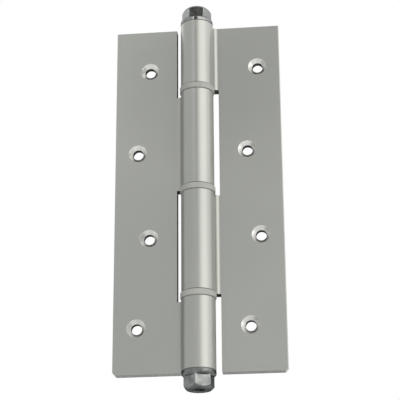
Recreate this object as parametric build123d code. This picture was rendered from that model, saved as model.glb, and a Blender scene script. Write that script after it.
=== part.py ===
from build123d import *
from math import atan2, cos, degrees, pi, radians, sin, sqrt, tan
import os

# A self-closing spring hinge, opened flat, in millimetres.
# The origin is the middle of the pin axis, with +Z up along the pin.
# The left leaf reaches towards -X and the right leaf towards +X.
# The mounting faces look towards +Y and the countersunk faces towards -Y.

# Leaves: one aluminium extrusion, notched for the other leaf's knuckles
leaf_height = 180.0
leaf_reach = 41.4              # pin axis to the outer edge
leaf_thickness = 4.8
edge_radius = 0.3              # long corners of the outer edge
corner_cut = 1.4               # clipped lower outer corners
barrel_diameter = 16.3
barrel_wall = 1.75
web_radius = 2.3               # hollow where the front runs into the barrel
notch_clearance = 2.35         # barrel to the edge of the notch around it
end_knuckle = 34.8             # length of the top and the bottom knuckle
knuckle_chamfer = 0.25

# Screw holes, staggered along each leaf
hole_pitch = 45.0
hole_near = 24.3               # pin axis to the inner row
hole_far = 30.2                # pin axis to the outer row
hole_diameter = 5.2
countersink_diameter = 9.0
countersink_angle = 90.0

# Fits
seat_gap = 0.02                # all round a pressed piece
running_gap = 0.05             # all round a turning piece

# Flanged bushes between the knuckles
flange_proud = 0.5             # all round the barrel
flange_thickness = 3.0
flange_play = 0.2
flange_rounding = 0.4
bush_wall = 0.65
bush_depth = 13.0

# Hollow pivots, pressed in above each bush and turning in it
pivot_wall = 0.7
pivot_grip = 13.0
pivot_reach = 11.0

# Tension plugs
head_across_flats = 13.0
head_height = 9.0              # knuckle end to the end face
head_face_diameter = 11.6
head_chamfer_angle = 45.0
collar_proud = 0.05            # all round the barrel
collar_rim = 1.8               # height of the collar's straight rim
collar_height = 2.8            # height where its cone meets the hexagon
collar_cone_width = 1.0        # from the rim in to the top of the cone
collar_play = 0.1
socket_across_flats = 6.0
socket_depth = 6.5
journal_length = 7.0
ratchet_length = 5.0
ratchet_teeth = 12
tooth_height = 0.5
stub_length = 8.0
slot_depth = 6.0
slot_clearance = 0.1           # beside and above the spring's tang
upper_turn = 3.0               # how far each plug is turned about the pin, in degrees
lower_turn = 21.6

# Pawl sleeves around the ratchet teeth
sleeve_length = 6.4
sleeve_wall = 0.8
sleeve_end_gap = 0.2
sleeve_room = 0.38             # around the tips of the ratchet teeth
pawl_count = 2
pawl_span = 60.0               # degrees from a pawl's root to its tip
pawl_thickness = 0.5
pawl_width = 3.0
pawl_gap = 0.1                 # off the teeth at rest
window_margin = 0.5            # open edge round a pawl

# Torsion spring and its cross pins
wire_diameter = 2.2
coil_clearance = 0.3           # to the bore of the pivots
coil_turns = 31
coil_end_gap = 0.4
bend_radius = 1.4
tang_overhang = 0.6            # how far the tang stops short of the stub's side
pin_diameter = 1.6

# Sizes that follow from those above
barrel_radius = barrel_diameter / 2
bore_radius = barrel_radius - barrel_wall
leaf_front = barrel_radius - leaf_thickness
half_height = leaf_height / 2
notch_edge = barrel_radius + notch_clearance
joint_gap = flange_thickness + flange_play
middle_knuckle = (leaf_height - 2 * end_knuckle - 3 * joint_gap) / 2
press_radius = bore_radius - seat_gap
flange_radius = barrel_radius + flange_proud
collar_radius = barrel_radius + collar_proud
bush_bore_radius = press_radius - bush_wall
pivot_radius = bush_bore_radius - running_gap
pivot_bore_radius = pivot_radius - pivot_wall
wire_radius = wire_diameter / 2
coil_radius = pivot_bore_radius - coil_clearance - wire_radius
sleeve_inner_radius = press_radius - sleeve_wall
stub_radius = sleeve_inner_radius - sleeve_room - tooth_height
ratchet_top = -journal_length
stub_top = ratchet_top - ratchet_length
stub_end = stub_top - stub_length
tang_level = stub_end + slot_depth - slot_clearance - wire_radius
pin_level = tang_level - wire_radius - slot_clearance - pin_diameter / 2
coil_level = stub_end - coil_end_gap - wire_radius

# Knuckles from the top down, as (low end, high end)
knuckles = []
knuckle_top = half_height
for knuckle_length in (end_knuckle, middle_knuckle, middle_knuckle, end_knuckle):
    knuckles.append((knuckle_top - knuckle_length, knuckle_top))
    knuckle_top -= knuckle_length + joint_gap


def ring_point(radius, angle):
    return (radius * cos(radians(angle)), radius * sin(radians(angle)))


def turned(*points):
    # A solid turned about the pin axis from the (radius, height) points of its half section
    outline = Polyline(*[(radius, 0, height) for radius, height in points], close=True)
    return revolve(make_face(outline), Axis.Z)


def leaf_profile():
    # Section of the extrusion: barrel, flat leaf tangent to its back, and the hollow on the front
    hollow_y = leaf_front - web_radius
    hollow_x = sqrt((barrel_radius + web_radius) ** 2 - hollow_y ** 2)
    centre = Vector(-hollow_x, hollow_y)
    touch_barrel = centre * (barrel_radius / (barrel_radius + web_radius))
    touch_front = Vector(-hollow_x, leaf_front)
    towards_middle = (touch_barrel - centre) + (touch_front - centre)
    hollow_middle = centre + towards_middle.normalized() * web_radius
    touch_angle = degrees(atan2(hollow_y, -hollow_x)) - 360
    barrel_middle = ring_point(barrel_radius, (90 + touch_angle) / 2)
    outline = [
        ThreePointArc((0, barrel_radius), barrel_middle, touch_barrel),
        ThreePointArc(touch_barrel, hollow_middle, touch_front),
        Line(touch_front, (-leaf_reach, leaf_front)),
        Line((-leaf_reach, leaf_front), (-leaf_reach, barrel_radius)),
        Line((-leaf_reach, barrel_radius), (0, barrel_radius)),
    ]
    face = make_face(outline)
    return fillet(face.vertices().group_by(Axis.X)[0], edge_radius)


def screw_hole():
    # Countersunk hole whose mouth is at the origin and faces +Z
    countersink_radius = countersink_diameter / 2
    hole_radius = hole_diameter / 2
    sink = (countersink_radius - hole_radius) / tan(radians(countersink_angle / 2))
    through = 2 * leaf_thickness
    return turned((0, 0), (countersink_radius, 0), (hole_radius, -sink), (hole_radius, -through), (0, -through))


def leaf():
    # The left leaf, with the second and the fourth knuckle
    upper, lower = knuckles[1], knuckles[3]
    body = extrude(leaf_profile(), half_height, both=True)
    body -= Cylinder(bore_radius, 2 * leaf_height)
    for low, high in ((upper[1], leaf_height), (lower[1], upper[0])):
        notch = Box(notch_edge + barrel_diameter, 2 * barrel_diameter, high - low,
                    align=(Align.MIN, Align.CENTER, Align.MIN))
        body -= Pos(-notch_edge, 0, low) * notch
    rims = body.edges().filter_by(GeomType.CIRCLE).filter_by(lambda rim: abs(rim.radius - barrel_radius) < 1e-3)
    body = chamfer(rims, knuckle_chamfer)
    for row in range(4):
        column = hole_near if row % 2 == 0 else hole_far
        level = (1.5 - row) * hole_pitch
        body -= Pos(-column, leaf_front, level) * Rot(90, 0, 0) * screw_hole()
    return body


def clipped(body, side):
    # Takes the lower outer corner off a leaf; side is -1 for the left leaf and +1 for the right
    corner = Polyline((0, 0), (corner_cut, 0), (0, corner_cut), close=True)
    wedge = extrude(Plane.XZ * make_face(corner), barrel_diameter, both=True)
    if side > 0:
        wedge = mirror(wedge, Plane.YZ)
    return body - Pos(side * leaf_reach, 0, -half_height) * wedge


def bush():
    # Flanged bush, with the underside of its flange at the origin
    body = turned(
        (bush_bore_radius, flange_thickness), (flange_radius, flange_thickness), (flange_radius, 0),
        (press_radius, 0), (press_radius, -bush_depth), (bush_bore_radius, -bush_depth))
    rims = body.edges().filter_by(GeomType.CIRCLE).filter_by(lambda rim: abs(rim.radius - flange_radius) < 1e-3)
    return fillet(rims, flange_rounding)


def pivot_tube():
    # Stepped hollow pivot, with its step at the origin
    tip = -(joint_gap + pivot_reach)
    return turned(
        (pivot_bore_radius, pivot_grip), (press_radius, pivot_grip), (press_radius, 0),
        (pivot_radius, 0), (pivot_radius, tip), (pivot_bore_radius, tip))


def hexagon(across_flats, low, high):
    return Pos(0, 0, low) * extrude(RegularPolygon(across_flats / 2, 6, major_radius=False), high - low)


def plug_head():
    # Hexagon head with a chamfered end, rising out of a coned collar
    corner_radius = head_across_flats / sqrt(3)
    face_radius = head_face_diameter / 2
    shoulder = head_height - (corner_radius - face_radius) * tan(radians(head_chamfer_angle))
    envelope = turned(
        (0, collar_play), (corner_radius, collar_play), (corner_radius, shoulder),
        (face_radius, head_height), (0, head_height))
    collar = turned(
        (0, collar_play), (collar_radius, collar_play), (collar_radius, collar_rim),
        (collar_radius - collar_cone_width, collar_height), (0, collar_height))
    socket = hexagon(socket_across_flats, head_height - socket_depth, 2 * head_height)
    return hexagon(head_across_flats, 0, head_height) & envelope, collar, socket


def ratchet():
    # Saw teeth that let the plug wind clockwise from its own end; every radial face looks anticlockwise
    step = 360 / ratchet_teeth
    outline = []
    for tooth in range(ratchet_teeth):
        outline += [ring_point(stub_radius + tooth_height, tooth * step), ring_point(stub_radius, tooth * step)]
    wheel = make_face(Polyline(*outline, close=True))
    return Pos(0, 0, stub_top) * extrude(wheel, ratchet_length)


def tension_plug():
    # The plug for the top knuckle, with that knuckle's end at the origin
    head, collar, socket = plug_head()
    shank = turned(
        (0, collar_play), (bore_radius - running_gap, collar_play), (bore_radius - running_gap, ratchet_top),
        (stub_radius, ratchet_top), (stub_radius, stub_end), (0, stub_end))
    slot = Box(barrel_diameter, wire_diameter + 2 * slot_clearance, slot_depth,
               align=(Align.CENTER, Align.CENTER, Align.MIN))
    body = head + collar + shank + ratchet() - socket
    body -= Pos(0, 0, stub_end) * slot
    return body - Pos(0, 0, pin_level) * Rot(90, 0, 0) * Cylinder(pin_diameter / 2 + seat_gap, barrel_diameter)


def pawl():
    # One tongue, bent in from the sleeve's wall to just short of a tooth's radial face
    tip_radius = stub_radius + pawl_gap
    middle_radius = stub_radius + tooth_height + pawl_gap
    tip_angle = degrees(pawl_gap / tip_radius)
    middle_angle = tip_angle + pawl_span / 2
    root_angle = tip_angle + pawl_span
    under = [(tip_radius, tip_angle), (middle_radius, middle_angle), (sleeve_inner_radius, root_angle)]
    over = [(radius + pawl_thickness, angle) for radius, angle in reversed(under)]
    under_line = ThreePointArc(*[ring_point(radius, angle) for radius, angle in under])
    over_line = ThreePointArc(*[ring_point(radius, angle) for radius, angle in over])
    tip = Line(over_line @ 1, under_line @ 0)
    root = Line(under_line @ 1, over_line @ 0)
    section = make_face([under_line, root, over_line, tip])
    return extrude(section, pawl_width / 2, both=True)


def pawl_window():
    # Sector cut out of the sleeve's wall round a pawl
    tip_angle = -degrees(window_margin / press_radius)
    root_angle = tip_angle + pawl_span
    far = 2 * bore_radius
    sector = make_face(Polyline(
        (0, 0), ring_point(far, root_angle), ring_point(far, (root_angle + tip_angle) / 2),
        ring_point(far, tip_angle), close=True))
    return extrude(sector, pawl_width / 2 + window_margin, both=True)


def pawl_sleeve():
    # Sleeve pressed into the top knuckle, with that knuckle's end at the origin
    top = ratchet_top - sleeve_end_gap
    body = turned(
        (sleeve_inner_radius, top), (press_radius, top),
        (press_radius, top - sleeve_length), (sleeve_inner_radius, top - sleeve_length))
    level = ratchet_top - ratchet_length / 2
    for index in range(pawl_count):
        place = Pos(0, 0, level) * Rot(0, 0, index * 360 / pawl_count)
        body -= place * pawl_window()
    for index in range(pawl_count):
        place = Pos(0, 0, level) * Rot(0, 0, index * 360 / pawl_count)
        body += place * pawl()
    return body


def spring_pin():
    # Cross pin under the tang, with the top knuckle's end at the origin
    length = 2 * sqrt(stub_radius ** 2 - (pin_diameter / 2) ** 2)
    return Pos(0, 0, pin_level) * Rot(90, 0, 0) * Cylinder(pin_diameter / 2, length)


def coil_shape():
    # Half height of the coil, its turns, and the angle from each leg round to the coil's end
    half = half_height + coil_level
    lead = degrees(atan2(bend_radius, coil_radius))
    turns = coil_turns + (lower_turn + 180 - upper_turn - 2 * lead) / 360
    return half, turns, lead


def spring_end():
    # Bends, leg and tang of the spring at the top plug, with the top knuckle's end at the origin
    half, turns, lead = coil_shape()
    slope = atan2(2 * half / turns, 2 * pi * coil_radius)
    first_radius = bend_radius / (1 - sin(slope))
    along = Vector(sin(radians(lead)), -cos(radians(lead)), 0)
    up = Vector(0, 0, 1)
    start = Vector(*ring_point(coil_radius, lead), coil_level)
    centre = start + (up * cos(slope) - along * sin(slope)) * first_radius
    halfway = (slope + pi / 2) / 2
    leg_foot = centre + along * first_radius
    leg_head = Vector(leg_foot.X, leg_foot.Y, tang_level - bend_radius)
    tang_centre = leg_head - Vector(bend_radius, 0, 0)
    tang_start = tang_centre + up * bend_radius
    tang_end = Vector(wire_radius + tang_overhang - stub_radius, 0, tang_level)
    path = Wire([
        ThreePointArc(start, centre + (along * sin(halfway) - up * cos(halfway)) * first_radius, leg_foot),
        Line(leg_foot, leg_head),
        ThreePointArc(leg_head, tang_centre + Vector(1, 0, 1).normalized() * bend_radius, tang_start),
        Line(tang_start, tang_end),
    ])
    return sweep(Plane(origin=path @ 0, z_dir=path % 0) * Circle(wire_radius), path=path)


def at_top(body):
    return Pos(0, 0, half_height) * Rot(0, 0, upper_turn) * body


def at_bottom(body):
    return Pos(0, 0, -half_height) * Rot(0, 0, lower_turn) * Rot(0, 180, 0) * body


def torsion_spring():
    # A left-hand coil, so folding the leaves together and turning either plug clockwise wind it up
    half, turns, lead = coil_shape()
    helix = Edge.make_helix(2 * half / turns, 2 * half, coil_radius, center=(0, 0, -half), lefthand=True)
    coil = sweep(Plane(origin=helix @ 0, z_dir=helix % 0) * Circle(wire_radius), path=helix, is_frenet=True)
    return Rot(0, 0, lower_turn + 180 - lead) * coil + at_top(spring_end()) + at_bottom(spring_end())


def all_pieces():
    left = leaf()
    pieces = {"left_leaf": clipped(left, -1), "right_leaf": clipped(Rot(0, 180, 0) * left, 1)}
    for name, above, below in zip(("upper", "middle", "lower"), knuckles, knuckles[1:]):
        pieces[name + "_bush"] = Pos(0, 0, below[1]) * bush()
        pieces[name + "_pivot_tube"] = Pos(0, 0, above[0]) * pivot_tube()
    for name, place in (("upper", at_top), ("lower", at_bottom)):
        pieces[name + "_tension_plug"] = place(tension_plug())
        pieces[name + "_pawl_sleeve"] = place(pawl_sleeve())
        pieces[name + "_spring_pin"] = place(spring_pin())
    pieces["torsion_spring"] = torsion_spring()
    return pieces


os.makedirs("parts", exist_ok=True)
for node, piece in all_pieces().items():
    export_step(piece, f"parts/{node}.step")
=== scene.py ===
import bpy
import bmesh
from math import atan2, cos, degrees, pi, radians, sin, sqrt, tan
from mathutils import Matrix, Vector


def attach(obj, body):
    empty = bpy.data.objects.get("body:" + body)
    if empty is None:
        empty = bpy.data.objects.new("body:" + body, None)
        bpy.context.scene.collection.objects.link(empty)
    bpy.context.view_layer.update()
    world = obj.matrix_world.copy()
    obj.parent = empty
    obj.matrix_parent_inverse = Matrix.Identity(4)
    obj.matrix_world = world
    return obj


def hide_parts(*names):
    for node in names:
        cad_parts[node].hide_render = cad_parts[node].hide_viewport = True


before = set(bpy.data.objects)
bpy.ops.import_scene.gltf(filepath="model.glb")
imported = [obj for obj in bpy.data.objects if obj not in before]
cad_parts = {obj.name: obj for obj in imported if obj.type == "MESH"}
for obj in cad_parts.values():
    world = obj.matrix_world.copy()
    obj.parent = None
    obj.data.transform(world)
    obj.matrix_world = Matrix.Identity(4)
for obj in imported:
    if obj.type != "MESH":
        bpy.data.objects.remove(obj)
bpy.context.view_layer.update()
scene = bpy.context.scene
scene.view_settings.view_transform = "Standard"
mm = 0.001
print("frame loaded")


# shader helpers

def newMaterial(name):
    material = bpy.data.materials.new(name)
    material.use_nodes = True
    tree = material.node_tree
    return material, tree, tree.nodes["Principled BSDF"]


def addNode(tree, kind, inputs=None, **settings):
    node = tree.nodes.new(kind)
    for key, value in settings.items():
        setattr(node, key, value)
    for key, value in (inputs or {}).items():
        if isinstance(value, bpy.types.NodeSocket):
            tree.links.new(value, node.inputs[key])
        else:
            node.inputs[key].default_value = value
    return node


def calculate(tree, operation, *values):
    return addNode(tree, "ShaderNodeMath", dict(enumerate(values)), operation=operation).outputs[0]


def ramp(tree, source, low, high, toLow=0.0, toHigh=1.0):
    node = addNode(tree, "ShaderNodeMapRange", {"Value": source, "From Min": low, "From Max": high,
                                                "To Min": toLow, "To Max": toHigh})
    return node.outputs["Result"]


def mixColour(tree, factor, first, second, blend="MIX"):
    node = addNode(tree, "ShaderNodeMix", {"Factor": factor}, data_type="RGBA", blend_type=blend)
    for socket, value in ((node.inputs[6], first), (node.inputs[7], second)):   # the two colour sockets
        if isinstance(value, bpy.types.NodeSocket):
            tree.links.new(value, socket)
        else:
            socket.default_value = (*value, 1)
    return node.outputs[2]


def bump(tree, height, distance):
    return addNode(tree, "ShaderNodeBump", {"Height": height, "Distance": distance}).outputs["Normal"]


# shared shader groups

def newGroup(name, inputs, outputs):
    group = bpy.data.node_groups.new(name, "ShaderNodeTree")
    for label, kind, value in inputs:
        socket = group.interface.new_socket(label, in_out="INPUT", socket_type=kind)
        if value is not None:
            socket.default_value = value
    for label, kind in outputs:
        group.interface.new_socket(label, in_out="OUTPUT", socket_type=kind)
    return group, group.nodes.new("NodeGroupInput"), group.nodes.new("NodeGroupOutput")


def makeMetalGrain():
    # Fine lines drawn along one axis, a slow drift of tone, and small specks
    group, given, result = newGroup(
        "metalGrain",
        [("Vector", "NodeSocketVector", None), ("Line Stretch", "NodeSocketVector", (1, 1, 1)),
         ("Line Scale", "NodeSocketFloat", 1500.0), ("Drift Scale", "NodeSocketFloat", 12.0),
         ("Speck Scale", "NodeSocketFloat", 2500.0), ("Speck Amount", "NodeSocketFloat", 0.3)],
        [("Lines", "NodeSocketFloat"), ("Drift", "NodeSocketFloat"), ("Specks", "NodeSocketFloat"),
         ("Height", "NodeSocketFloat")])
    drawn = addNode(group, "ShaderNodeVectorMath",
                    {0: given.outputs["Vector"], 1: given.outputs["Line Stretch"]}, operation="MULTIPLY")
    fine = addNode(group, "ShaderNodeTexNoise",
                   {"Vector": drawn.outputs[0], "Scale": given.outputs["Line Scale"],
                    "Detail": 3.0, "Roughness": 0.6})
    slow = addNode(group, "ShaderNodeTexNoise",
                   {"Vector": given.outputs["Vector"], "Scale": given.outputs["Drift Scale"], "Detail": 2.0})
    dots = addNode(group, "ShaderNodeTexNoise",
                   {"Vector": given.outputs["Vector"], "Scale": given.outputs["Speck Scale"], "Detail": 1.0})
    specks = calculate(group, "MULTIPLY", ramp(group, dots.outputs["Fac"], 0.55, 0.75),
                       given.outputs["Speck Amount"])
    height = calculate(group, "SUBTRACT", fine.outputs["Fac"], specks)
    for label, source in (("Lines", fine.outputs["Fac"]), ("Drift", slow.outputs["Fac"]),
                          ("Specks", specks), ("Height", height)):
        group.links.new(source, result.inputs[label])
    return group


def makePaintedEdgeHighlight():
    # Mask that rises where a face turns into a rounded edge, for a painted highlight along it
    group, given, result = newGroup("paintedEdgeHighlight", [("Width", "NodeSocketFloat", 0.0003)],
                                    [("Mask", "NodeSocketFloat")])
    eased = addNode(group, "ShaderNodeBevel", {"Radius": given.outputs["Width"]}, samples=12)
    plain = addNode(group, "ShaderNodeNewGeometry")
    match = addNode(group, "ShaderNodeVectorMath",
                    {0: eased.outputs["Normal"], 1: plain.outputs["Normal"]}, operation="DOT_PRODUCT")
    turned, level = 0.93, 0.998     # cosines between the two normals on the round and on the flat
    group.links.new(ramp(group, match.outputs["Value"], turned, level, 1.0, 0.0), result.inputs["Mask"])
    return group


metalGrain = makeMetalGrain()
paintedEdgeHighlight = makePaintedEdgeHighlight()


def grainNode(tree, values):
    place = addNode(tree, "ShaderNodeTexCoord")
    return addNode(tree, "ShaderNodeGroup", {"Vector": place.outputs["Object"], **values},
                   node_tree=metalGrain)


def withPaintedEdgeHighlight(tree, colour, look):
    # The colour, mixed towards the look's lighter rim colour along the edges as a painted highlight
    node = addNode(tree, "ShaderNodeGroup", {"Width": look["rimWidth"]}, node_tree=paintedEdgeHighlight)
    return mixColour(tree, node.outputs["Mask"], colour, look["rim"])


def finishSurface(tree, surface, look, colour, gloss, relief):
    # Colour, roughness and bump change over the surface, and the look's sockets are the same all over
    tree.links.new(colour, surface.inputs["Base Color"])
    tree.links.new(ramp(tree, gloss, *look["roughness"]), surface.inputs["Roughness"])
    tree.links.new(bump(tree, relief, look["bumpDistance"]), surface.inputs["Normal"])
    for socket, value in look["sockets"].items():
        surface.inputs[socket].default_value = value


# materials: a pattern's first two numbers are the noise values it starts and ends at, and its last two,
# if given, are what they become

aluminiumLook = {
    "tone": (0.310, 0.317, 0.294),
    "deep": (0.285, 0.294, 0.276),
    "grain": {"Line Stretch": (1, 1, 0.004), "Line Scale": 1500.0, "Drift Scale": 14.0,
              "Speck Scale": 3000.0, "Speck Amount": 0.15},
    "drift": (0.35, 0.65),
    "streaks": (0.3, 0.7, 0.0, 0.12),
    "roughness": (0.25, 0.75, 0.31, 0.38),
    "bumpDistance": 0.000004,
    "sockets": {"Metallic": 1.0, "Coat Weight": 1.0, "Coat Roughness": 0.34},
}


def makeAluminium():
    look = aluminiumLook
    material, tree, surface = newMaterial("anodisedAluminium")
    grain = grainNode(tree, look["grain"]).outputs
    toned = mixColour(tree, ramp(tree, grain["Drift"], *look["drift"]), look["tone"], look["deep"])
    streaked = mixColour(tree, ramp(tree, grain["Lines"], *look["streaks"]), toned, look["deep"])
    finishSurface(tree, surface, look, streaked, grain["Lines"], grain["Height"])
    return material


cutLooks = {
    # sawn ends of the extrusion, anodised like the rest
    "sawnAluminium": {
        "tone": (0.42, 0.43, 0.41),
        "deep": (0.310, 0.317, 0.294),
        "grain": {"Line Stretch": (1, 0.03, 1), "Line Scale": 1100.0, "Drift Scale": 30.0,
                  "Speck Amount": 0.2},
        "streaks": (0.3, 0.7),
        "gloss": "Lines",
        "roughness": (0.25, 0.75, 0.38, 0.50),
        "bumpDistance": 0.00001,
        "sockets": {"Metallic": 1.0, "Specular Tint": (0.60, 0.60, 0.60, 1)},
    },
    # milled notch and bore faces; their near-black tone is painted shade
    "milledAluminiumPaintedShade": {
        "tone": (0.105, 0.110, 0.100),
        "deep": (0.055, 0.060, 0.055),
        "grain": {"Line Stretch": (1, 0.05, 1), "Line Scale": 1800.0, "Drift Scale": 60.0,
                  "Speck Amount": 0.4},
        "streaks": (0.3, 0.7),
        "gloss": "Drift",
        "roughness": (0.3, 0.7, 0.40, 0.55),
        "bumpDistance": 0.00001,
        "sockets": {"Metallic": 1.0, "Specular Tint": (0.2, 0.2, 0.2, 1)},
    },
}


def makeCutFace(name):
    look = cutLooks[name]
    material, tree, surface = newMaterial(name)
    grain = grainNode(tree, look["grain"]).outputs
    streaked = mixColour(tree, ramp(tree, grain["Lines"], *look["streaks"]), look["tone"], look["deep"])
    finishSurface(tree, surface, look, streaked, grain[look["gloss"]], grain["Height"])
    return material


machinedLook = {
    "tone": (0.82, 0.82, 0.795),
    "groove": (0.60, 0.60, 0.585),
    "ringSpacing": 0.00014,
    "rings": (-1, 1, 0.0, 0.6),
    "grain": {"Line Scale": 2500.0, "Drift Scale": 200.0, "Speck Amount": 0.2},
    "drift": (0.3, 0.7, 0.0, 0.4),
    "roughness": (0.3, 0.7, 0.22, 0.34),
    "bumpDistance": 0.0000008,
    "sockets": {"Metallic": 1.0, "Specular Tint": (0.1, 0.1, 0.1, 1)},
}


def makeMachined():
    # Turning marks: rings at equal depth on every countersink
    look = machinedLook
    material, tree, surface = newMaterial("machinedCountersink")
    place = addNode(tree, "ShaderNodeTexCoord")
    depth = addNode(tree, "ShaderNodeSeparateXYZ", {0: place.outputs["Object"]})
    turns = calculate(tree, "MULTIPLY", depth.outputs["Y"], 2 * pi / look["ringSpacing"])
    ring = calculate(tree, "SINE", turns)
    grain = grainNode(tree, look["grain"]).outputs
    drift = ramp(tree, grain["Drift"], *look["drift"])
    mask = calculate(tree, "ADD", ramp(tree, ring, *look["rings"]), drift)
    turned = mixColour(tree, mask, look["tone"], look["groove"])
    finishSurface(tree, surface, look, turned, grain["Lines"], ring)
    return material


zincLook = {
    "grain": {"Line Stretch": (1, 1, 0.3), "Line Scale": 900.0, "Drift Scale": 260.0, "Speck Scale": 1500.0},
    "clouds": (0.35, 0.7),
    "collarEnd": (0.0918, 0.0920, 1.0, 0.0),    # distances from the hinge's middle, not noise
    "ends": {
        "upper": {
            "tone": (0.30, 0.31, 0.30),
            "dull": (0.24, 0.25, 0.25),
            # the rim colour is a painted highlight along the edges
            "rim": (0.48, 0.49, 0.48),
            "rimWidth": 0.00022,
            # the collar's multiplier is painted shade
            "collarPaintedShade": (0.85, 0.85, 0.85),
            "speckAmount": 0.2,
            "roughness": (0.3, 0.7, 0.08, 0.16),
            "bumpDistance": 0.000003,
            "sockets": {"Metallic": 1.0, "Specular Tint": (0.60, 0.60, 0.60, 1)},
        },
        "lower": {
            "tone": (0.25, 0.262, 0.255),
            "dull": (0.145, 0.153, 0.152),
            # the rim colour is a painted highlight along the edges
            "rim": (0.42, 0.435, 0.43),
            "rimWidth": 0.00025,
            # the collar's multiplier is painted shade
            "collarPaintedShade": (0.70, 0.70, 0.70),
            "speckAmount": 1.0,
            "roughness": (0.3, 0.7, 0.18, 0.30),
            "bumpDistance": 0.000012,
            "sockets": {"Metallic": 1.0, "Specular Tint": (0.28, 0.28, 0.28, 1)},
        },
    },
}


def makeZinc(end):
    # Plating with clouds and specks, with painted shade on the turned collar and a painted highlight along
    # the edges
    look = {**zincLook, **zincLook["ends"][end]}
    material, tree, surface = newMaterial(end + "ZincPlate")
    grain = grainNode(tree, {**look["grain"], "Speck Amount": look["speckAmount"]}).outputs
    place = addNode(tree, "ShaderNodeTexCoord")
    level = addNode(tree, "ShaderNodeSeparateXYZ", {0: place.outputs["Object"]})
    collar = ramp(tree, calculate(tree, "ABSOLUTE", level.outputs["Z"]), *look["collarEnd"])
    clouded = mixColour(tree, ramp(tree, grain["Drift"], *look["clouds"]), look["tone"], look["dull"])
    specked = mixColour(tree, grain["Specks"], clouded, look["dull"])
    # painted shade: the collar made darker
    platingWithCollarShade = mixColour(tree, collar, specked, look["collarPaintedShade"], "MULTIPLY")
    finishSurface(tree, surface, look, withPaintedEdgeHighlight(tree, platingWithCollarShade, look), grain["Drift"], grain["Lines"])
    return material


nylonLook = {
    "tone": (0.405, 0.407, 0.378),
    "blotch": (0.340, 0.342, 0.320),
    # the rim colour is a painted highlight along the ring's rounded edges
    "rim": (0.54, 0.545, 0.52),
    "rimWidth": 0.0004,
    "grain": {"Line Scale": 1400.0, "Drift Scale": 90.0, "Speck Scale": 2200.0, "Speck Amount": 0.5},
    "blotches": (0.4, 0.7),
    "roughness": (0.3, 0.7, 0.42, 0.55),
    "bumpDistance": 0.00001,
    "sockets": {"Specular IOR Level": 0.4},
}


def makeNylon():
    look = nylonLook
    material, tree, surface = newMaterial("greyNylon")
    grain = grainNode(tree, look["grain"]).outputs
    blotched = mixColour(tree, ramp(tree, grain["Drift"], *look["blotches"]), look["tone"], look["blotch"])
    specked = mixColour(tree, grain["Specks"], blotched, look["blotch"])
    finishSurface(tree, surface, look, withPaintedEdgeHighlight(tree, specked, look), grain["Lines"], grain["Height"])
    return material


steelLook = {
    "grain": {"Line Scale": 1600.0, "Drift Scale": 80.0, "Speck Amount": 0.4},
    "drift": (0.35, 0.65),
    "bumpDistance": 0.000008,
    "sockets": {"Metallic": 1.0},
    "kinds": {
        "oiledSpringSteel": {
            "tone": (0.30, 0.30, 0.31),
            "deep": (0.20, 0.20, 0.21),
            "lineStretch": (1, 1, 1),
            "roughness": (0.3, 0.7, 0.25, 0.40),
        },
        "broachedSteelWithShade": {
            # tone lowered partly as painted shade of the deep key socket
            "tone": (0.40, 0.41, 0.40),
            "deep": (0.28, 0.29, 0.29),
            "lineStretch": (1, 1, 0.05),
            "roughness": (0.3, 0.7, 0.30, 0.42),
        },
        "groundSteel": {
            "tone": (0.50, 0.50, 0.50),
            "deep": (0.40, 0.40, 0.41),
            "lineStretch": (0.03, 0.03, 1),
            "roughness": (0.3, 0.7, 0.20, 0.35),
        },
    },
}


def makeSteel(name):
    look = {**steelLook, **steelLook["kinds"][name]}
    material, tree, surface = newMaterial(name)
    grain = grainNode(tree, {**look["grain"], "Line Stretch": look["lineStretch"]}).outputs
    mottled = mixColour(tree, ramp(tree, grain["Drift"], *look["drift"]), look["tone"], look["deep"])
    specked = mixColour(tree, grain["Specks"], mottled, look["deep"])
    finishSurface(tree, surface, look, specked, grain["Lines"], grain["Height"])
    return material


aluminium = makeAluminium()
# the milled faces' near-black tone is painted shade
sawn, milledWithPaintedShade = [makeCutFace(name) for name in cutLooks]
machined = makeMachined()
zinc = {end: makeZinc(end) for end in zincLook["ends"]}
nylon = makeNylon()
springSteel, broachedSteelWithShade, groundSteel = [makeSteel(name) for name in steelLook["kinds"]]
print("materials made")


# mesh helpers

def objectFromMesh(name, mesh):
    piece = bpy.data.objects.new(name, mesh)
    scene.collection.objects.link(piece)
    return piece


def objectFromBmesh(name, bm):
    mesh = bpy.data.meshes.new(name)
    bmesh.ops.recalc_face_normals(bm, faces=bm.faces)
    bm.to_mesh(mesh)
    bm.free()
    return objectFromMesh(name, mesh)


def ringPoint(radius, angle):
    return (radius * cos(radians(angle)), radius * sin(radians(angle)))


def hexagonRadius(acrossFlats, angle):
    return acrossFlats / 2 / cos(radians(angle % 60 - 30))


def polarBody(name, rings, columns):
    # Solid about Z from rings that give a radius and a height in millimetres at each angle
    bm = bmesh.new()
    angles = [360 * step / columns for step in range(columns)]
    loops = []
    for ring in rings:
        points = [ring(angle) for angle in angles]
        loops.append([bm.verts.new((*ringPoint(radius * mm, angle), height * mm))
                      for (radius, height), angle in zip(points, angles)])
    for low, high in zip(loops, loops[1:]):
        for step in range(columns):
            after = (step + 1) % columns
            bm.faces.new((low[step], low[after], high[after], high[step]))
    bm.faces.new(loops[0][::-1])
    bm.faces.new(loops[-1])
    bmesh.ops.remove_doubles(bm, verts=bm.verts, dist=1e-7)
    bmesh.ops.dissolve_degenerate(bm, edges=bm.edges, dist=1e-7)
    return objectFromBmesh(name, bm)


def lathe(name, profile, segments):
    # Solid of revolution between the first and the last of its (radius, height) points
    return polarBody(name, [lambda angle, point=point: point for point in profile], segments)


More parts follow.
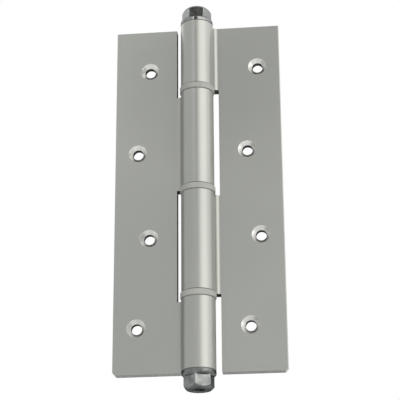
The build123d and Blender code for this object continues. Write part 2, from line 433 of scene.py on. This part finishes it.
def tube(name, profile, segments):
    # Closed ring of revolution, its last point joined to its first
    bm = bmesh.new()
    loops = [[bm.verts.new((*ringPoint(radius * mm, 360 * step / segments), height * mm))
              for step in range(segments)] for radius, height in profile]
    for low, high in zip(loops, loops[1:] + loops[:1]):
        for step in range(segments):
            after = (step + 1) % segments
            bm.faces.new((low[step], low[after], high[after], high[step]))
    return objectFromBmesh(name, bm)


def prism(name, outline, low, high):
    # Solid between two heights over an outline of (x, y) points in millimetres
    bm = bmesh.new()
    floor = [bm.verts.new((x * mm, y * mm, low * mm)) for x, y in outline]
    roof = [bm.verts.new((x * mm, y * mm, high * mm)) for x, y in outline]
    bm.faces.new(floor)
    bm.faces.new(roof)
    for step in range(len(outline)):
        after = (step + 1) % len(outline)
        bm.faces.new((floor[step], floor[after], roof[after], roof[step]))
    return objectFromBmesh(name, bm)


def applied(piece):
    # The piece's own modifiers made part of its mesh
    mesh = bpy.data.meshes.new_from_object(piece.evaluated_get(bpy.context.evaluated_depsgraph_get()))
    piece.modifiers.clear()
    piece.data = mesh
    return piece


def joined(piece, tool, operation):
    change = piece.modifiers.new("solid", "BOOLEAN")
    change.operation = operation
    change.solver = "EXACT"
    change.object = tool
    applied(piece)
    bpy.data.objects.remove(tool)
    return piece


def shaded(piece, sharpAngle=50):
    # Large faces keep their own normals, the rounds between them blend, and bare corners stay sharp
    bm = bmesh.new()
    bm.from_mesh(piece.data)
    for face in bm.faces:
        face.smooth = True
    for edge in bm.edges:
        edge.smooth = len(edge.link_faces) == 2 and edge.calc_face_angle() < radians(sharpAngle)
    bm.to_mesh(piece.data)
    bm.free()
    shading = piece.modifiers.new("shading", "WEIGHTED_NORMAL")
    shading.mode = "FACE_AREA"
    shading.keep_sharp = True
    return applied(piece)


def softened(piece, widthOf, segments=2, angle=25, slide=True):
    # Rounds the outward edges sharper than the angle, each by its own width in millimetres
    widest = 0.3    # at weight one
    bm = bmesh.new()
    bm.from_mesh(piece.data)
    weights = bm.edges.layers.float.new("bevel_weight_edge")
    for edge in bm.edges:
        if len(edge.link_faces) == 2 and edge.is_convex and edge.calc_face_angle() > radians(angle):
            edge[weights] = widthOf(edge) / widest
    bm.to_mesh(piece.data)
    bm.free()
    rounding = piece.modifiers.new("edges", "BEVEL")
    rounding.width = widest * mm
    rounding.segments = segments
    rounding.limit_method = "WEIGHT"
    rounding.use_clamp_overlap = False
    rounding.loop_slide = slide
    return applied(piece)


def placed(piece, place):
    piece.data.transform(place)
    return piece


# leaves: one extrusion, notched for the other leaf's knuckles and drilled; sizes in millimetres

leafSizes = {
    "height": 180.0,
    "reach": 41.4,
    "thickness": 4.8,
    "barrelRadius": 8.15,
    "boreRadius": 6.4,
    "webRadius": 2.3,
    "notchEdge": 10.5,
    "cornerCut": 1.4,
    "notches": ((-55.2, 1.6), (52.0, 91.0)),    # low and high end of each notch in the left leaf
    "holes": ((24.3, 67.5), (30.2, 22.5), (24.3, -22.5), (30.2, -67.5)),    # distance from the pin, height
    "holeRadius": 2.6,
    "sinkRadius": 4.5,
    "longRound": 0.30,
    "rimRound": 0.25,
    "edgeRound": 0.12,
    "sinkRound": 0.14,
    "boreRound": 0.12,
    "barrelSteps": 88,
    "webSteps": 12,
    "holeSteps": 72,
}

finishCodes = {"Surface": 0, "Milled": 1, "Countersink": 2, "Sawn": 3}


def leafSection():
    # Closed loops of edges: the outline of the extrusion and its bore
    size = leafSizes
    barrel, web = size["barrelRadius"], size["webRadius"]
    front = barrel - size["thickness"]
    hollowY = front - web
    hollowX = sqrt((barrel + web) ** 2 - hollowY ** 2)
    touch = degrees(atan2(hollowY, -hollowX)) - 360
    outline = []
    for step in range(size["barrelSteps"] + 1):
        outline.append(ringPoint(barrel, 90 + (touch - 90) * step / size["barrelSteps"]))
    start = touch + 180
    for step in range(1, size["webSteps"] + 1):
        x, y = ringPoint(web, start + (90 - start) * step / size["webSteps"])
        outline.append((x - hollowX, y + hollowY))
    outline += [(-size["reach"], front), (-size["reach"], barrel)]
    steps = size["holeSteps"]
    bore = [ringPoint(size["boreRadius"], 360 * step / steps) for step in range(steps)]
    bm = bmesh.new()
    for loop in (outline, bore):
        corners = [bm.verts.new((x * mm, y * mm, 0)) for x, y in loop]
        for first, second in zip(corners, corners[1:] + corners[:1]):
            bm.edges.new((first, second))
    mesh = bpy.data.meshes.new("leafSection")
    bm.to_mesh(mesh)
    bm.free()
    return objectFromMesh("leafSection", mesh)


def finishFaces(cutter, finishOf):
    # Marks each face with the finish that the cut it makes will have
    marks = cutter.data.attributes.new("finish", "INT", "FACE")
    for face in cutter.data.polygons:
        marks.data[face.index].value = finishCodes[finishOf(face)]
    return cutter


def screwCutter():
    # Bore and countersink with every edge rounded, drawn about the plate's front face
    size = leafSizes
    hole, sink, turn, back = size["holeRadius"], size["sinkRadius"], size["sinkRound"], size["boreRound"]
    tangent = turn * tan(pi / 8)
    above, below = 1, -8    # both clear of the plate
    arcs = [((sink + tangent, -turn), turn, (110, 122, 135)),
            ((hole + turn, hole - sink - tangent), turn, (135, 150, 165, 180)),
            ((hole + back, back - size["thickness"]), back, (180, 202, 224, 246, 262))]
    profile = [(sink + tangent, above)]
    for (radius, height), arc, angles in arcs:
        for angle in angles:
            x, y = ringPoint(arc, angle)
            profile.append((radius + x, height + y))
    profile.append((profile[-1][0], below))
    cutter = lathe("screwCutter", profile, size["holeSteps"])
    placed(cutter, Matrix.Rotation(pi / 2, 4, "X"))
    return finishFaces(cutter, lambda face: "Countersink" if abs(face.normal.y) > 0.4 else "Milled")


def notchCutter(end):
    # Blocks for the other leaf's knuckles, and a wedge that clips the outer corner at the lower (-1)
    # or the upper (1) end
    size = leafSizes
    reach, tip, cut = size["reach"], end * size["height"] / 2, size["cornerCut"]
    edge, clear = -size["notchEdge"], 20    # clear is past the barrel on every side
    wedge = prism("notchCutter", [(-reach - 1, tip + end), (-reach + cut + 1, tip + end),
                                  (-reach - 1, tip - end * (cut + 1))], -clear, clear)
    cutter = placed(wedge, Matrix.Rotation(pi / 2, 4, "X"))
    corners = [(edge, -clear), (clear, -clear), (clear, clear), (edge, clear)]
    for low, high in size["notches"]:
        joined(cutter, prism("notchBlock", corners, low, high), "UNION")
    return finishFaces(cutter, lambda face: "Surface" if face.center.x < -reach / 2 * mm else "Milled")


def screwPoints():
    size = leafSizes
    front = size["barrelRadius"] - size["thickness"]
    mesh = bpy.data.meshes.new("screwPoints")
    mesh.from_pydata([(-x * mm, front * mm, z * mm) for x, z in size["holes"]], [], [])
    return objectFromMesh("screwPoints", mesh)


def makeLeafTree():
    tree = bpy.data.node_groups.new("leafExtrusion", "GeometryNodeTree")
    given = {}
    for label, kind in (("Section", "NodeSocketGeometry"), ("Height", "NodeSocketFloat"),
                        ("Notch Cutter", "NodeSocketObject"), ("Screw Cutter", "NodeSocketObject"),
                        ("Screw Points", "NodeSocketObject"), ("Surface", "NodeSocketMaterial"),
                        ("Milled", "NodeSocketMaterial"), ("Countersink", "NodeSocketMaterial"),
                        ("Sawn", "NodeSocketMaterial")):
        given[label] = tree.interface.new_socket(label, in_out="INPUT", socket_type=kind).identifier
    tree.interface.new_socket("Leaf", in_out="OUTPUT", socket_type="NodeSocketGeometry")
    inlet = tree.nodes.new("NodeGroupInput").outputs
    outlet = tree.nodes.new("NodeGroupOutput")

    def geometryOf(label):
        info = addNode(tree, "GeometryNodeObjectInfo", {"Object": inlet[label]}, transform_space="RELATIVE")
        return info.outputs["Geometry"]

    def markedSawn(mesh, selection=None):
        node = addNode(tree, "GeometryNodeStoreNamedAttribute", {"Geometry": mesh, "Name": "finish"},
                       data_type="INT", domain="FACE")
        node.inputs["Value"].default_value = finishCodes["Sawn"]
        if selection:
            tree.links.new(selection, node.inputs["Selection"])
        return node.outputs["Geometry"]

    loops = addNode(tree, "GeometryNodeMeshToCurve", {"Mesh": inlet["Section"]})
    filled = addNode(tree, "GeometryNodeFillCurve", {"Curve": loops.outputs["Curve"]}, mode="NGONS")
    drop = addNode(tree, "ShaderNodeCombineXYZ", {"Z": calculate(tree, "MULTIPLY", inlet["Height"], -0.5)})
    foot = addNode(tree, "GeometryNodeTransform", {"Geometry": filled.outputs["Mesh"],
                                                   "Translation": drop.outputs[0]})
    drawn = addNode(tree, "GeometryNodeExtrudeMesh", {"Mesh": foot.outputs[0], "Offset": (0, 0, 1),
                                                      "Offset Scale": inlet["Height"], "Individual": False})
    base = addNode(tree, "GeometryNodeFlipFaces", {"Mesh": foot.outputs[0]})
    both = addNode(tree, "GeometryNodeJoinGeometry")
    tree.links.new(markedSawn(drawn.outputs["Mesh"], drawn.outputs["Top"]), both.inputs[0])
    tree.links.new(markedSawn(base.outputs[0]), both.inputs[0])
    closed = addNode(tree, "GeometryNodeMergeByDistance", {"Geometry": both.outputs[0], "Distance": 1e-7})

    screws = addNode(tree, "GeometryNodeInstanceOnPoints", {"Points": geometryOf("Screw Points"),
                                                            "Instance": geometryOf("Screw Cutter")})
    solidScrews = addNode(tree, "GeometryNodeRealizeInstances", {"Geometry": screws.outputs[0]})
    cut = addNode(tree, "GeometryNodeMeshBoolean", {"Mesh 1": closed.outputs[0]}, operation="DIFFERENCE",
                  solver="EXACT")
    tree.links.new(geometryOf("Notch Cutter"), cut.inputs["Mesh 2"])
    tree.links.new(solidScrews.outputs[0], cut.inputs["Mesh 2"])
    real = addNode(tree, "GeometryNodeRealizeInstances", {"Geometry": cut.outputs["Mesh"]})
    mark = addNode(tree, "GeometryNodeInputNamedAttribute", {"Name": "finish"}, data_type="INT")
    current = real.outputs[0]
    for label, code in finishCodes.items():
        match = addNode(tree, "FunctionNodeCompare", data_type="INT", operation="EQUAL")
        tree.links.new(mark.outputs["Attribute"], match.inputs["A"])
        match.inputs["B"].default_value = code
        coat = addNode(tree, "GeometryNodeSetMaterial", {"Geometry": current, "Selection": match.outputs[0],
                                                         "Material": inlet[label]})
        current = coat.outputs[0]
    tree.links.new(current, outlet.inputs[0])
    return tree, given


def leafEdgeWidth(edge):
    # Round on one sharp edge of a leaf, in millimetres; a screw hole's edges come rounded from its cutter
    size = leafSizes
    near, around = 0.01, (size["sinkRadius"] + 0.5) ** 2
    ends = [corner.co / mm for corner in edge.verts]
    if max(end.x for end in ends) < -size["reach"] + size["cornerCut"] + near:
        return size["longRound"]
    if all(abs(end.xy.length - size["barrelRadius"]) < near for end in ends):
        return size["rimRound"]
    for x, z in size["holes"]:
        if all((end.x + x) ** 2 + (end.z - z) ** 2 < around for end in ends):
            return 0
    return size["edgeRound"]


def makeLeaf(name, clippedEnd):
    tree, given = leafTree
    leaf = leafSection()
    leaf.name = name
    notches = notchCutter(clippedEnd)
    change = leaf.modifiers.new("extrusion", "NODES")
    change.node_group = tree
    for label, value in (("Height", leafSizes["height"] * mm), ("Notch Cutter", notches),
                         ("Screw Cutter", leafTools["screw"]), ("Screw Points", leafTools["points"]),
                         ("Surface", aluminium), ("Milled", milledWithPaintedShade), ("Countersink", machined),
                         ("Sawn", sawn)):
        change[given[label]] = value
    applied(leaf)
    bpy.data.objects.remove(notches)
    return shaded(softened(leaf, leafEdgeWidth, slide=False))


leafTree = makeLeafTree()
leafTools = {"screw": screwCutter(), "points": screwPoints()}
leftLeaf = makeLeaf("leftLeaf", -1)
rightLeaf = placed(makeLeaf("rightLeaf", 1), Matrix.Rotation(pi, 4, "Y"))
for tool in leafTools.values():
    bpy.data.objects.remove(tool)
for leaf, body, node in ((leftLeaf, "frame_side", "left_leaf"), (rightLeaf, "door_side", "right_leaf")):
    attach(leaf, body)
    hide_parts(node)
print("leaves made")


# flanged bushes between the knuckles, in millimetres

bushSizes = {
    "flangeRadius": 8.65,
    "flangeThickness": 3.0,
    "round": 0.4,
    "edgeRound": 0.05,
    "pressRadius": 6.38,
    "boreRadius": 5.73,
    "depth": 13.0,
    "columns": 128,
    "roundSteps": 6,
    # name, height of the knuckle's end that the flange rests on, body
    "levels": (("upper", 52.0, "frame_side"), ("middle", -1.6, "door_side"), ("lower", -55.2, "frame_side")),
}


def bushProfile():
    size = bushSizes
    radius, top, turn = size["flangeRadius"], size["flangeThickness"], size["round"]
    bore, press = size["boreRadius"], size["pressRadius"]
    profile = [(bore, -size["depth"]), (press, -size["depth"]), (press, 0)]
    for start, centre in ((-90, turn), (0, top - turn)):
        for step in range(size["roundSteps"] + 1):
            x, y = ringPoint(turn, start + 90 * step / size["roundSteps"])
            profile.append((radius - turn + x, centre + y))
    return profile + [(bore, top)]


for level, height, body in bushSizes["levels"]:
    bush = tube(level + "Bush", bushProfile(), bushSizes["columns"])
    placed(bush, Matrix.Translation((0, 0, height * mm)))
    shaded(softened(bush, lambda edge: bushSizes["edgeRound"], angle=50))
    bush.data.materials.append(nylon)
    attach(bush, body)
    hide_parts(level + "_bush")
print("bushes made")


# tension plugs in the ends of the barrel, in millimetres from the knuckle's end

plugSizes = {
    "acrossFlats": 13.0,
    "headHeight": 9.0,
    "headFaceRadius": 5.8,
    "chamferAngle": 45.0,
    "collarRadius": 8.2,
    "collarRim": 1.8,
    "collarHeight": 2.8,
    "coneRadius": 7.2,
    "collarPlay": 0.1,
    "socketAcrossFlats": 6.0,
    "socketDepth": 6.5,
    "journalRadius": 6.35,
    "journalEnd": -7.0,
    "teeth": 12,
    "toothHeight": 0.5,
    "ratchetEnd": -12.0,
    "stubRadius": 4.7,
    "stubEnd": -20.0,
    "slotWidth": 2.4,
    "slotDepth": 6.0,
    "pinLevel": -16.1,
    "pinRadius": 0.82,
    "pinSteps": 32,
    "edgeRound": 0.15,
    "hexagonRound": 0.15,
    "socketRound": 0.10,
    "columns": 120,
    "ends": (("upper", 1, 3.0), ("lower", -1, 21.6)),   # name, side of the middle, turn in degrees
}


def plugRings():
    # From the end of the stub up to the bottom of the key socket
    size = plugSizes
    slope = tan(radians(size["chamferAngle"]))
    rise = (size["collarHeight"] - size["collarRim"]) / (size["collarRadius"] - size["coneRadius"])

    def flat(angle):
        return hexagonRadius(size["acrossFlats"], angle)

    def coneTop(angle):
        radius = max(size["coneRadius"], flat(angle))
        return radius, size["collarRim"] + (size["collarRadius"] - radius) * rise

    turned = [(size["stubRadius"], size["stubEnd"]), (size["stubRadius"], size["journalEnd"]),
              (size["journalRadius"], size["journalEnd"]), (size["journalRadius"], size["collarPlay"]),
              (size["collarRadius"], size["collarPlay"]), (size["collarRadius"], size["collarRim"])]
    head, face, socket = size["headHeight"], size["headFaceRadius"], size["socketAcrossFlats"]
    return [lambda angle, point=point: point for point in turned] + [
        coneTop,
        lambda angle: (flat(angle), coneTop(angle)[1]),
        lambda angle: (flat(angle), head - (flat(angle) - face) * slope),
        lambda angle: (face, head),
        lambda angle: (hexagonRadius(socket, angle), head),
        lambda angle: (hexagonRadius(socket, angle), head - size["socketDepth"])]


def plugEdgeWidth(edge):
    # Round on one sharp edge of a plug, in millimetres
    size = plugSizes
    near = 0.01
    radii, heights = zip(*[(corner.co.xy.length / mm, corner.co.z / mm) for corner in edge.verts])
    if min(heights) > size["headHeight"] - near and max(radii) < size["headFaceRadius"] - 1:
        return size["socketRound"]
    if min(heights) > size["collarHeight"] - 0.5 and min(radii) > size["headFaceRadius"] - 0.1:
        ledge = max(heights) < size["collarHeight"] + near
        return 0 if ledge else size["hexagonRound"]
    rim = min(radii) > size["collarRadius"] - near
    stub = max(heights) < size["journalEnd"] + near
    return size["edgeRound"] if rim or stub else 0


def makePlug(end):
    # Plug for the top of the barrel, with the knuckle's end at the origin
    size = plugSizes
    plug = softened(polarBody(end + "TensionPlug", plugRings(), size["columns"]), plugEdgeWidth, segments=3)
    wheel = []
    for tooth in range(size["teeth"]):
        angle = tooth * 360 / size["teeth"]
        wheel += [ringPoint(size["stubRadius"] + size["toothHeight"], angle),
                  ringPoint(size["stubRadius"] - 0.05, angle)]
    joined(plug, prism("ratchet", wheel, size["ratchetEnd"], size["journalEnd"] + 0.5), "UNION")
    clear, half = 10, size["slotWidth"] / 2     # clear is past the stub on both sides
    joined(plug, prism("slot", [(-clear, -half), (clear, -half), (clear, half), (-clear, half)],
                       size["stubEnd"] - 1, size["stubEnd"] + size["slotDepth"]), "DIFFERENCE")
    hole = lathe("hole", [(size["pinRadius"], -clear), (size["pinRadius"], clear)], size["pinSteps"])
    placed(hole, Matrix.Translation((0, 0, size["pinLevel"] * mm)) @ Matrix.Rotation(pi / 2, 4, "X"))
    joined(plug, hole, "DIFFERENCE")
    shaded(plug)
    plug.data.materials.clear()
    for look in (zinc[end], broachedSteelWithShade):
        plug.data.materials.append(look)
    # The broached steel is bare inside the key socket; its lowered tone is partly painted shade of the deep
    # socket
    socket = size["socketAcrossFlats"] / 2 / cos(pi / 6) + 0.02
    floor, mouth = size["headHeight"] - size["socketDepth"] - 0.1, size["headHeight"] - 0.2
    for face in plug.data.polygons:
        radius, height = face.center.xy.length / mm, face.center.z / mm
        face.material_index = 1 if radius < socket and floor < height < mouth else 0
    return plug


for end, side, turn in plugSizes["ends"]:
    plug = makePlug(end)
    place = (Matrix.Translation((0, 0, side * leafSizes["height"] / 2 * mm))
             @ Matrix.Rotation(radians(turn), 4, "Z"))
    if side < 0:
        place = place @ Matrix.Rotation(pi, 4, "Y")
    placed(plug, place)
    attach(plug, end + "_plug")
    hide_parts(end + "_tension_plug")
print("tension plugs made")


# the pieces inside the barrel keep their CAD meshes

for node, look in (("torsion_spring", springSteel), ("upper_pawl_sleeve", springSteel),
                   ("lower_pawl_sleeve", springSteel), ("upper_spring_pin", groundSteel),
                   ("lower_spring_pin", groundSteel), ("upper_pivot_tube", groundSteel),
                   ("middle_pivot_tube", groundSteel), ("lower_pivot_tube", groundSteel)):
    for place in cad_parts[node].material_slots:
        place.material = look
print("inner pieces finished")


# camera: metres, degrees and millimetres of lens

cameraPlace = {
    "position": (0.06490, -0.61929, -0.24593),
    "yaw": 5.887,
    "pitch": 21.165,
    "roll": -0.405,
    "lens": 123.63,
    "sensor": 36,
}


def makeCamera():
    data = bpy.data.cameras.new("camera")
    data.lens = cameraPlace["lens"]
    data.sensor_width = cameraPlace["sensor"]
    camera = bpy.data.objects.new("camera", data)
    scene.collection.objects.link(camera)
    camera.matrix_world = (Matrix.Translation(cameraPlace["position"])
                           @ Matrix.Rotation(radians(cameraPlace["yaw"]), 4, "Z")
                           @ Matrix.Rotation(radians(90 + cameraPlace["pitch"]), 4, "X")
                           @ Matrix.Rotation(radians(cameraPlace["roll"]), 4, "Z"))
    scene.camera = camera


makeCamera()


# studio: pale floor, soft boxes, and a dark card that the camera doesn't see, in metres

studio = {
    "floorLevel": -1.0,
    "floorRadius": 3.0,
    "floorFade": (0.6, 1.6),        # where the floor melts into the white background
    "floorTone": (0.50, 0.50, 0.50),
    "floorRoughness": 0.9,
    "floorGlow": 0.10,
    "roomTone": (0.76, 0.77, 0.76),
    "cardTone": (0.078, 0.079, 0.060),
    # azimuth from the front towards +X, elevation, distance, width, height, radiance, colour
    "lamps": {
        "keyBox": (46, 22, 1.2, 1.00, 1.45, 0.70, (1.0, 0.972, 0.91)),
        "wideBox": (62, 22, 1.3, 2.2, 1.7, 0.70, (1.0, 0.975, 0.92)),
        "topFill": (-8, 32, 1.4, 0.60, 0.34, 1.30, (1.0, 0.99, 0.98)),
        "midFill": (12, 22, 1.35, 0.42, 1.30, 0.14, (1.0, 0.99, 0.97)),
        "lowKick": (5, -58, 0.8, 1.2, 0.6, 0.30, (1.0, 0.99, 0.97)),
        "leftRim": (-120, 38, 1.2, 0.4, 0.5, 0.50, (1.0, 1.0, 1.0)),
        "rightRim": (120, 38, 1.2, 0.4, 0.5, 0.30, (1.0, 1.0, 1.0)),
    },
    # azimuth, elevation, distance, width, height
    "cards": {
        "frontCard": (-3, 31, 1.1, 0.34, 0.20),
    },
}


def lookAtMiddle(thing, azimuth, elevation, distance):
    flat = distance * cos(radians(elevation))
    spot = Vector((flat * sin(radians(azimuth)), -flat * cos(radians(azimuth)),
                   distance * sin(radians(elevation))))
    thing.location = spot
    thing.rotation_euler = spot.to_track_quat("Z", "Y").to_euler()


def seenDirectly(tree):
    # One where the camera, a reflection or a clear body looks, nought for light on the object
    path = addNode(tree, "ShaderNodeLightPath").outputs
    first = calculate(tree, "MAXIMUM", path["Is Camera Ray"], path["Is Glossy Ray"])
    return calculate(tree, "MAXIMUM", first, path["Is Transmission Ray"])


def makeWorld():
    world = bpy.data.worlds.new("studio")
    world.use_nodes = True
    tree = world.node_tree
    tree.nodes.clear()
    room = addNode(tree, "ShaderNodeBackground", {"Color": (*studio["roomTone"], 1), "Strength": 1.0})
    white = addNode(tree, "ShaderNodeBackground", {"Color": (1, 1, 1, 1), "Strength": 1.0})
    mix = addNode(tree, "ShaderNodeMixShader",
                  {0: seenDirectly(tree), 1: room.outputs[0], 2: white.outputs[0]})
    addNode(tree, "ShaderNodeOutputWorld", {"Surface": mix.outputs[0]})
    scene.world = world


def makeFloor():
    bm = bmesh.new()
    bmesh.ops.create_circle(bm, cap_ends=True, segments=64, radius=studio["floorRadius"],
                            matrix=Matrix.Translation((0, 0, studio["floorLevel"])))
    mesh = bpy.data.meshes.new("floor")
    bm.to_mesh(mesh)
    bm.free()
    floor = objectFromMesh("floor", mesh)
    material, tree, surface = newMaterial("paleFloor")
    for socket, value in (("Base Color", (*studio["floorTone"], 1)), ("Roughness", studio["floorRoughness"]),
                          ("Emission Color", (1, 1, 1, 1)), ("Emission Strength", studio["floorGlow"])):
        surface.inputs[socket].default_value = value
    place = addNode(tree, "ShaderNodeTexCoord")
    flat = addNode(tree, "ShaderNodeVectorMath", {0: place.outputs["Object"], 1: (1, 1, 0)},
                   operation="MULTIPLY")
    reach = addNode(tree, "ShaderNodeVectorMath", {0: flat.outputs[0]}, operation="LENGTH")
    fade = calculate(tree, "MULTIPLY", ramp(tree, reach.outputs["Value"], *studio["floorFade"]),
                     seenDirectly(tree))
    white = addNode(tree, "ShaderNodeEmission", {"Color": (1, 1, 1, 1), "Strength": 1.0})
    mix = addNode(tree, "ShaderNodeMixShader", {0: fade, 1: surface.outputs[0], 2: white.outputs[0]})
    tree.links.new(mix.outputs[0], tree.nodes["Material Output"].inputs["Surface"])
    floor.data.materials.append(material)


def makeLamps():
    for name, (azimuth, elevation, distance, width, height, radiance, colour) in studio["lamps"].items():
        data = bpy.data.lights.new(name, "AREA")
        data.shape = "RECTANGLE"
        data.size = width
        data.size_y = height
        data.energy = radiance * pi * width * height
        data.color = colour
        lamp = bpy.data.objects.new(name, data)
        scene.collection.objects.link(lamp)
        lookAtMiddle(lamp, azimuth, elevation, distance)


def makeCards():
    material, tree, surface = newMaterial("darkCard")
    surface.inputs["Base Color"].default_value = (*studio["cardTone"], 1)
    surface.inputs["Roughness"].default_value = 1.0
    surface.inputs["Specular IOR Level"].default_value = 0.0
    for name, (azimuth, elevation, distance, width, height) in studio["cards"].items():
        mesh = bpy.data.meshes.new(name)
        x, y = width / 2, height / 2
        mesh.from_pydata([(-x, -y, 0), (x, -y, 0), (x, y, 0), (-x, y, 0)], [], [(0, 1, 2, 3)])
        card = objectFromMesh(name, mesh)
        card.data.materials.append(material)
        card.visible_camera = False
        card.visible_shadow = False
        lookAtMiddle(card, azimuth, elevation, distance)


makeWorld()
makeFloor()
makeLamps()
makeCards()
print("studio lit")
